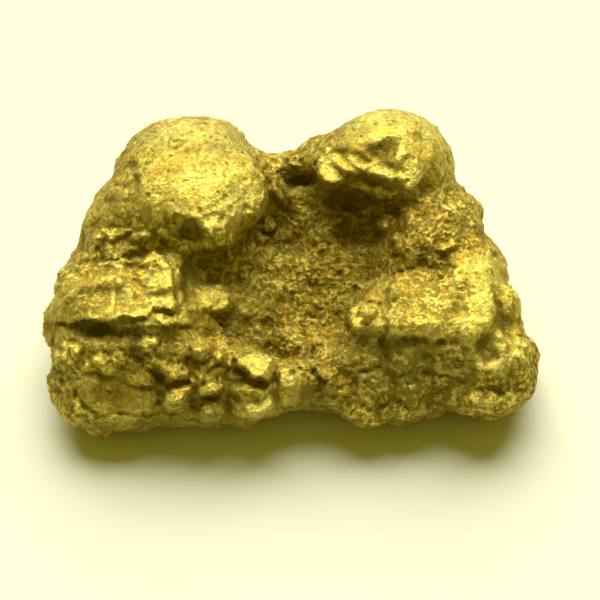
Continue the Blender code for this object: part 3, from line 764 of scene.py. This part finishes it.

# An edge painted bright, partly by wear and partly as a painted highlight along it: its path (u,
# v) and the width of the bright line.
BRIGHT_EDGES = {"show": dict(
    facet_top=([(-10.7, -3.35), (-9.6, -3.6), (-8.6, -3.9), (-7.8, -4.2)], 0.22),
    facet_foot=(
        [(-10.9, -4.4), (-11.05, -5.1), (-10.6, -5.55), (-8.9, -5.75), (-7.5, -5.7)], 0.14,
    ),
    nose=([(-11.5, -2.1), (-11, -2.25), (-10.9, -2.7)], 0.14),
    drip_a=([(-7.4, 0.4), (-7.2, -0.7)], 0.2),
    drip_b=([(-6.7, 0.4), (-6.4, -0.7)], 0.24),
    drip_c=([(-6.1, 0), (-5.8, -0.9), (-5.2, -1.15)], 0.14),
    block_foot=([(-12, -0.7), (-11.2, -0.9), (-10.4, -0.7), (-9.4, -0.9)], 0.12),
    thin_ledge=([(-6.7, -1.05), (-5.9, -1.05), (-5.3, -1.2)], 0.12),
    ring_crumb=([(-5.5, -2.2), (-4.9, -1.9), (-4.2, -2.1), (-3.7, -2.6)], 0.22),
    pebble_a=([(-6.7, -4.6), (-6.1, -4.3), (-5.5, -4.2), (-5.35, -4.7)], 0.14),
    block=([(-5, -4.2), (-4.4, -4.1), (-3.95, -4.2)], 0.12),
    crescent=([(-3.2, -2.7), (-2.9, -3.25), (-2.25, -3.7), (-1.6, -3.85)], 0.18),
    boulder_foot=([(-3.8, -5.9), (-3, -6.1), (-2.1, -6.05), (-1.5, -5.5)], 0.26),
    boulder_side=([(-1.3, -3.9), (-1.15, -4.7), (-1.4, -5.4)], 0.14),
    boulder_rim=([(-2.5, -4.95), (-2, -5.1), (-1.9, -5.5)], 0.12),
    shiny_rim=([(8.5, -2.2), (8.6, -1.8), (8.9, -1.6), (9.4, -1.7), (9.7, -2.1)], 0.2),
    plate_foot=([(4.5, -1.45), (5.2, -1.5), (6, -1.5), (6.9, -1.55)], 0.34),
    crown_lip=(
        [(-6, 4.4), (-5.5, 4.2), (-5, 3.8), (-4.6, 3.6), (-4.2, 3.3), (-3.8, 2.8)], 0.22,
    ),
    ridge_tip=([(0.9, 6.1), (1.5, 5.95), (2, 6)], 0.18),
    ridge_band=([(3.1, 6.5), (3.7, 6.2), (4.3, 6), (4.9, 5.85)], 0.22),
    ridge_end=([(4.5, 5.05), (5, 5.1), (5.5, 5.3)], 0.15),
    slope_a=([(-10.4, 3), (-9.5, 3.3), (-8.7, 3.2)], 0.12),
    slope_b=([(-8.6, 3), (-7.9, 3.25), (-7.3, 3.1)], 0.12),
    slope_c=([(-11.2, 2), (-10.3, 2.3), (-9.4, 2.2)], 0.12),
    plate_side=([(9.9, 1.9), (9.8, 0.9), (10, -0.2)], 0.14),
    toe=([(0.9, -5.2), (1.6, -5), (2.2, -5.3)], 0.12),
    low_lobe=([(2.2, -5.6), (3.2, -5.9), (4.4, -5.9), (5.4, -5.6)], 0.14),
    corner=([(8, -5.2), (9.2, -5.4), (10.2, -5.1)], 0.14),
), "back": dict(
    ledge=([(-1.4, -0.9), (-0.4, -1.15), (0.6, -1.05), (1.6, -0.8)], 0.18),
    crown=([(-8, 1.05), (-6.1, 1.05), (-4.2, 1.05)], 0.16),
    shoulder=([(3.6, 1.7), (5.8, 1.45), (8, 0.7)], 0.16),
)}


def features(table, name):
    return list(table.get(name, {}).values())


def sculpt_forms(obj):
    """Lays the named ledges, cracks, pebbles and pits on each face."""
    points, normals = surface(obj)
    moved = points.copy()
    for name in FACES:
        face = Face(name, points, normals)
        level = face.torn(points, amount=0.14, size=0.6, channel=160)
        ragged = face.torn(points, amount=0.20, size=0.6, channel=100)
        rounded = face.torn(points, amount=0.11, size=0.45, channel=140)
        height = terraces(level, points, features(TERRACES, name))
        height += ledges(ragged, features(LEDGES, name)) + cracks(ragged, features(CRACKS, name))
        height += pebbles(rounded, features(PEBBLES, name)) + pits(ragged, features(PITS, name))
        moved += height[:, None] * face.out
    move_points(obj.data, moved)


def region(obj, table):
    """How strongly each point lies in the table's ovals, over all faces."""
    points, normals = surface(obj)
    most = np.zeros(len(points))
    for name, places in table.items():
        face = Face(name, points, normals)
        face = face.torn(points, amount=0.25, size=1.0, channel=180)
        most = np.maximum(most, spots(face, places))
    return most


def on_lines(obj, table, widen):
    """How strongly each point lies on any line of the table, drawn that many times its width."""
    points, normals = surface(obj)
    most = np.zeros(len(points))
    for name in FACES:
        face = Face(name, points, normals)
        face = face.torn(points, amount=0.16, size=0.5, channel=100)
        paths = [(path, widen * width) for path, width, *_ in features(table, name)]
        most = np.maximum(most, strokes(face, paths))
    return most


def warped(points, amount, size, channel):
    """The points shifted by noise, so that what is laid out on them is uneven."""
    shift = [fractal(points, size, 2, channel + 3 * n) for n in range(3)]
    return points + amount * np.stack(shift, axis=1)


def crystals(places, size, channel, share):
    """1 inside the flat crystals that stand in that share of the cells, and 0 between them."""
    nearest, _, cell, _ = grains(places, size, channel)
    there = cell_random(cell, channel + 5) < share
    return np.where(there, ramp(nearest, 0.42, 0.30), 0.0)


def sculpt_grain(obj):
    """Crags, crumbs, crystals and pinholes, from a millimetre across down to what the mesh can
    hold. Each kind is given its size in millimetres and the channel of its noise."""
    points, normals = surface(obj)
    burnished, sugary = region(obj, BURNISHED), region(obj, SUGARY)
    crumbly = region(obj, CRUMBLY)
    under = ramp(normals[:, 2], -0.3, -0.9)
    rough = np.clip(1 - 0.9 * burnished, 0, 1) * (1 - 0.5 * under)
    uneven = warped(points, 0.14, 0.5, 200)
    height = 0.030 * rough * ridged(uneven, 1.2, 4, 340)
    height += 0.08 * crumbly * lumps(uneven, 0.9, 220)
    height += (0.035 * rough + 0.02 * crumbly) * facets(uneven, 0.50, 240, 3)
    height += (0.015 * rough + 0.02 * sugary) * facets(uneven, 0.32, 260, 3.5)
    height += (0.008 + 0.006 * rough + 0.006 * sugary) * facets(points, 0.20, 280, 3.5)
    height += 0.06 * sugary * crystals(uneven, **CRYSTALS)
    height += 0.06 * pinholes(uneven, 0.42, 300, 0.40) * (1 - under)
    height += 0.10 * rough * pinholes(uneven, 1.0, 380, 0.30) * (1 - under)
    height += 0.05 * fractal(points, 1.3, 3, 320)
    moved = points + height[:, None] * normals
    moved[:, 2] = np.maximum(moved[:, 2], 0)
    move_points(obj.data, moved)


# ------------------------ what the material reads


def averaged(values, ends, rounds):
    """Each point's value averaged with its neighbours' again and again."""
    count = len(values)
    neighbours = np.bincount(ends.ravel(), minlength=count)
    for _ in range(rounds):
        total = np.zeros_like(values)
        for axis in range(values.shape[1]):
            total[:, axis] = np.bincount(ends[:, 0], values[ends[:, 1], axis], count)
            total[:, axis] += np.bincount(ends[:, 1], values[ends[:, 0], axis], count)
        values = 0.5 * values + 0.5 * total / neighbours[:, None]
    return values


def sunk(obj, rounds):
    """How deep each point lies below its surroundings, in millimetres; crests are negative."""
    points, normals = surface(obj)
    ends = np.empty(len(obj.data.edges) * 2, np.int32)
    obj.data.edges.foreach_get("vertices", ends)
    ends = ends.reshape(-1, 2)
    return ((averaged(points, ends, rounds) - points) * normals).sum(axis=1)


def paint(obj):
    """Stores what the material reads at each point."""
    points, _ = surface(obj)
    near, middling, wide = (sunk(obj, rounds) for rounds in (5, 30, 140))
    # Darker in creases and hollows: dirt that lies there, and painted shade where less light
    # reaches.
    crease_dirt_and_shade = 0.7 * ramp(near, 0.002, 0.022) + 0.7 * ramp(middling, 0.0, 0.07)
    crease_dirt_and_shade += 0.6 * ramp(wide, 0.05, 0.5)
    crest = 0.7 * ramp(near, -0.002, -0.018) + 0.7 * ramp(middling, -0.01, -0.07)
    # Brighter, cleaner gold: real polish, plus painted light in the listed ovals and painted
    # highlights along the bright edges.
    polish_and_painted_light = np.maximum(region(obj, POLISH_AND_PAINTED_LIGHT), 0.9 * on_lines(obj, BRIGHT_EDGES, 1.0))
    # Dark brown: soil, and painted shade in these ovals and along the cracks.
    soil_and_painted_shade = np.maximum(region(obj, SOIL_AND_PAINTED_SHADE), 0.8 * on_lines(obj, CRACKS, 1.3))
    layers = {
        "crease_dirt_and_shade": np.clip(crease_dirt_and_shade, 0, 1),
        "crest": np.clip(crest, 0, 1),
        "burnished": region(obj, BURNISHED),
        "polish_and_painted_light": polish_and_painted_light,
        "sugary": region(obj, SUGARY),
        "stained": region(obj, STAINED),
        "tarnish_and_painted_shade": region(obj, TARNISH_AND_PAINTED_SHADE),
        "soil_and_painted_shade": soil_and_painted_shade,
        "crystal": crystals(warped(points, 0.14, 0.5, 200), **CRYSTALS),
    }
    for name, values in layers.items():
        layer = obj.data.attributes.new(name, "FLOAT", "POINT")
        layer.data.foreach_set("value", values.astype(np.float32))


# ------------------------ materials


class Nodes:
    """A small wrapper that adds shader nodes and joins their sockets."""

    def __init__(self, material):
        material.use_nodes = True
        self.tree = material.node_tree
        self.shader = self.tree.nodes["Principled BSDF"]

    def add(self, kind, inputs=None, **settings):
        node = self.tree.nodes.new(kind)
        for key, value in settings.items():
            setattr(node, key, value)
        for key, value in (inputs or {}).items():
            self.feed(node.inputs[key], value)
        return node

    def feed(self, socket, value):
        if isinstance(value, bpy.types.NodeSocket):
            self.tree.links.new(value, socket)
        else:
            socket.default_value = value

    def attribute(self, name):
        return self.add("ShaderNodeAttribute", attribute_name=name).outputs["Fac"]

    def math(self, operation, *values, clamp=False):
        node = self.add("ShaderNodeMath", dict(enumerate(values)), operation=operation)
        node.use_clamp = clamp
        return node.outputs[0]

    def times(self, first, second):
        """The product, kept from 0 to 1."""
        return self.math("MULTIPLY", first, second, clamp=True)

    def remap(self, value, low, high, out_low=0.0, out_high=1.0):
        numbers = {1: low, 2: high, 3: out_low, 4: out_high}
        return self.add("ShaderNodeMapRange", {0: value, **numbers}).outputs[0]

    def mix(self, share, first, second):
        node = self.add("ShaderNodeMix", data_type="RGBA")
        self.feed(node.inputs[0], share)
        self.feed(node.inputs[6], first)
        self.feed(node.inputs[7], second)
        return node.outputs[2]

    def noise(self, place, width, detail, roughness=0.5):
        """Noise with bumps about that many millimetres wide."""
        numbers = {"Vector": place, "Scale": 1 / (width * MM), "Detail": detail}
        return self.add("ShaderNodeTexNoise", {**numbers, "Roughness": roughness}).outputs[0]

    def cells(self, place, width):
        """Cells about that many millimetres wide, each with its own colour."""
        numbers = {"Vector": place, "Scale": 1 / (width * MM)}
        return self.add("ShaderNodeTexVoronoi", numbers)


HIGHLIGHT_GOLD = (0.94, 0.87, 0.29, 1)
LEMON_GOLD = (0.88, 0.76, 0.14, 1)
DEEP_GOLD = (0.80, 0.60, 0.05, 1)
DULL_GOLD = (0.38, 0.28, 0.028, 1)
SUGAR_GOLD = (0.25, 0.165, 0.010, 1)
BROWN = (0.21, 0.155, 0.004, 1)
RUST = (0.60, 0.31, 0.014, 1)
GREEN_GREY = (0.40, 0.38, 0.10, 1)
PAPER_COLOUR = (0.98, 0.98, 0.84, 1)


def gold():
    material = bpy.data.materials.new("native_gold_looks")
    n = Nodes(material)
    place = n.add("ShaderNodeTexCoord").outputs["Object"]
    crease_dirt_and_shade, crest = n.attribute("crease_dirt_and_shade"), n.attribute("crest")
    burnished, polish_and_painted_light = n.attribute("burnished"), n.attribute("polish_and_painted_light")
    sugary, stained, tarnish_and_painted_shade = (n.attribute(x) for x in ("sugary", "stained", "tarnish_and_painted_shade"))
    soil_and_painted_shade, crystal = n.attribute("soil_and_painted_shade"), n.attribute("crystal")

    broad = n.noise(place, 1.6, 4)
    patchy = n.noise(place, 0.55, 5, 0.65)
    fine = n.noise(place, 0.20, 4, 0.65)
    grain = n.cells(place, 0.23).outputs["Color"]
    tint = n.cells(place, 0.34).outputs["Color"]

    rust = n.times(n.remap(patchy, 0.42, 0.60), n.remap(stained, 0, 1, 0.32, 1.0))
    dull = n.mix(sugary, DULL_GOLD, SUGAR_GOLD)
    dull = n.mix(n.times(tarnish_and_painted_shade, 0.8), dull, GREEN_GREY)
    dull = n.mix(n.times(rust, 0.7), dull, RUST)
    bright = n.mix(n.remap(broad, 0.35, 0.65), LEMON_GOLD, DEEP_GOLD)
    bright = n.mix(n.times(rust, 0.6), bright, RUST)
    # Painted highlight: pale, whitish gold laid on crests and on the polished and painted-light
    # spots.
    crest_highlight = n.times(crest, n.remap(fine, 0.45, 0.60))
    shine = n.times(polish_and_painted_light, n.remap(fine, 0.46, 0.58, 0.0, 0.8))
    bright = n.mix(n.math("MAXIMUM", crest_highlight, shine), bright, HIGHLIGHT_GOLD)

    # How far the colour turns to bright gold: polish, worn crests, crystals and glints, and
    # painted light.
    clean_and_painted_light = n.math("ADD", polish_and_painted_light, n.times(crest, n.remap(sugary, 0, 1, 0.65, 0.45)), clamp=True)
    shard = n.times(crystal, n.remap(sugary, 0, 1, 0.1, 0.7))
    clean_and_painted_light = n.math("ADD", clean_and_painted_light, shard, clamp=True)
    clean_and_painted_light = n.times(clean_and_painted_light, n.remap(patchy, 0.38, 0.52, 0.5, 1.0))
    glint = n.times(n.remap(grain, 0.60, 0.66), n.remap(sugary, 0, 1, 0.35, 0.75))
    clean_and_painted_light = n.math("MAXIMUM", clean_and_painted_light, glint)
    colour = n.mix(clean_and_painted_light, dull, bright)
    orange = n.times(n.remap(tint, 0.58, 0.66), n.remap(sugary, 0, 1, 0.15, 0.4))
    colour = n.mix(orange, colour, RUST)
    olive = n.times(n.remap(tint, 0.42, 0.34), n.remap(burnished, 0, 1, 0.4, 0.1))
    colour = n.mix(olive, colour, GREEN_GREY)

    # How far the colour turns brown: dirt and painted shade in creases and the listed ovals,
    # reduced where painted light lifts it, plus dark specks and grains.
    brown_dirt_and_shade = n.times(crease_dirt_and_shade, n.remap(fine, 0.35, 0.55, 0.4, 1.0))
    brown_dirt_and_shade = n.times(brown_dirt_and_shade, n.remap(polish_and_painted_light, 0, 1, 1.0, 0.35))
    grime_and_shade = n.times(soil_and_painted_shade, n.remap(patchy, 0.42, 0.62, 1.0, 0.5))
    speck = n.remap(n.noise(place, 0.17, 3, 0.7), 0.55, 0.62)
    speck = n.times(speck, n.remap(burnished, 0, 1, 0.85, 0.60))
    dark = n.times(n.remap(grain, 0.42, 0.36), n.remap(burnished, 0, 1, 0.7, 0.15))
    for more in (grime_and_shade, speck, dark):
        brown_dirt_and_shade = n.math("MAXIMUM", brown_dirt_and_shade, more)
    n.feed(n.shader.inputs["Base Color"], n.mix(brown_dirt_and_shade, colour, BROWN))

    n.feed(n.shader.inputs["Metallic"], n.remap(clean_and_painted_light, 0, 1, 0.6, 0.95))
    rough = n.math("ADD", n.remap(fine, 0.3, 0.7, 0.42, 0.62), n.times(brown_dirt_and_shade, 0.2), clamp=True)
    n.feed(n.shader.inputs["Roughness"], rough)

    pores = n.cells(place, 0.18).outputs["Distance"]
    height = n.math("ADD", n.times(patchy, 0.9), n.times(fine, 0.9))
    height = n.math("ADD", height, n.times(pores, n.remap(sugary, 0, 1, 0.15, 0.4)))
    height = n.math("ADD", height, n.times(grain, n.remap(burnished, 0, 1, 0.5, 0.1)))
    bump = n.add("ShaderNodeBump", {"Height": height})
    bump.inputs["Strength"].default_value = 0.8
    bump.inputs["Distance"].default_value = 0.11 * MM
    n.feed(n.shader.inputs["Normal"], bump.outputs[0])
    return material


def paper():
    material = bpy.data.materials.new("pale_paper")
    shader = Nodes(material).shader
    shader.inputs["Base Color"].default_value = PAPER_COLOUR
    shader.inputs["Roughness"].default_value = 0.9
    shader.inputs["Specular IOR Level"].default_value = 0.1
    return material


# ------------------------ stage, light and camera

FLOOR_SIDE = 3.0
LENS_MM = 200
SENSOR_MM = 36
PICTURE_WIDTH = 30 * MM
SHOW_AZIMUTH, SHOW_ELEVATION = FACES["show"]
KEY_LIGHT = {"azimuth": 180, "elevation": 47, "strength": 4.2, "angle": 66}
KEY_COLOUR = (1.0, 0.98, 0.88)
SKY_COLOUR = (1.0, 0.93, 0.10, 1)
SKY_STRENGTH = 0.20


def floor():
    mesh = bpy.data.meshes.new("floor")
    half = FLOOR_SIDE / 2
    corners = [(-half, -half, 0), (half, -half, 0), (half, half, 0), (-half, half, 0)]
    mesh.from_pydata(corners, [], [(0, 1, 2, 3)])
    mesh.materials.append(paper())
    obj = bpy.data.objects.new("floor", mesh)
    bpy.context.scene.collection.objects.link(obj)


def direction(azimuth, elevation):
    """The unit vector towards a place in the sky; azimuth 0 is -Y and 90 is +X."""
    a, e = math.radians(azimuth), math.radians(elevation)
    return Vector((math.sin(a) * math.cos(e), -math.cos(a) * math.cos(e), math.sin(e)))


def sun(name, azimuth, elevation, strength, angle, colour):
    light = bpy.data.lights.new(name, "SUN")
    light.energy = strength
    light.angle = math.radians(angle)
    light.color = colour
    obj = bpy.data.objects.new(name, light)
    obj.rotation_mode = "QUATERNION"
    obj.rotation_quaternion = direction(azimuth, elevation).to_track_quat("Z", "Y")
    bpy.context.scene.collection.objects.link(obj)


def sky(colour, strength):
    world = bpy.data.worlds.new("studio")
    world.use_nodes = True
    background = world.node_tree.nodes["Background"]
    background.inputs["Color"].default_value = colour
    background.inputs["Strength"].default_value = strength
    bpy.context.scene.world = world


def camera():
    data = bpy.data.cameras.new("camera")
    data.lens = LENS_MM
    data.sensor_width = SENSOR_MM
    data.clip_start, data.clip_end = 0.01, 10
    obj = bpy.data.objects.new("camera", data)
    back = direction(SHOW_AZIMUTH, SHOW_ELEVATION)
    distance = PICTURE_WIDTH * LENS_MM / SENSOR_MM
    obj.location = Vector(MIDDLE) * MM + back * distance
    obj.rotation_mode = "QUATERNION"
    obj.rotation_quaternion = back.to_track_quat("Z", "Y")
    bpy.context.scene.collection.objects.link(obj)
    bpy.context.scene.camera = obj


def light():
    sun("key", colour=KEY_COLOUR, **KEY_LIGHT)
    sky(SKY_COLOUR, SKY_STRENGTH)


def build():
    piece = nugget_copy()
    round_off(piece, levels=2)
    remesh(piece, COARSE_VOXEL, smoothing=4)
    sculpt_forms(piece)
    remesh(piece, FINE_VOXEL, smoothing=1)
    sculpt_grain(piece)
    thin_out(piece, TRIANGLES)
    paint(piece)
    piece.data.transform(Matrix.Scale(MM, 4))
    piece.data.shade_smooth()
    piece.data.materials.clear()
    piece.data.materials.append(gold())
    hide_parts("nugget")
    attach(piece, "root")


build()
floor()
light()
camera()
bpy.context.scene.view_settings.view_transform = "Standard"
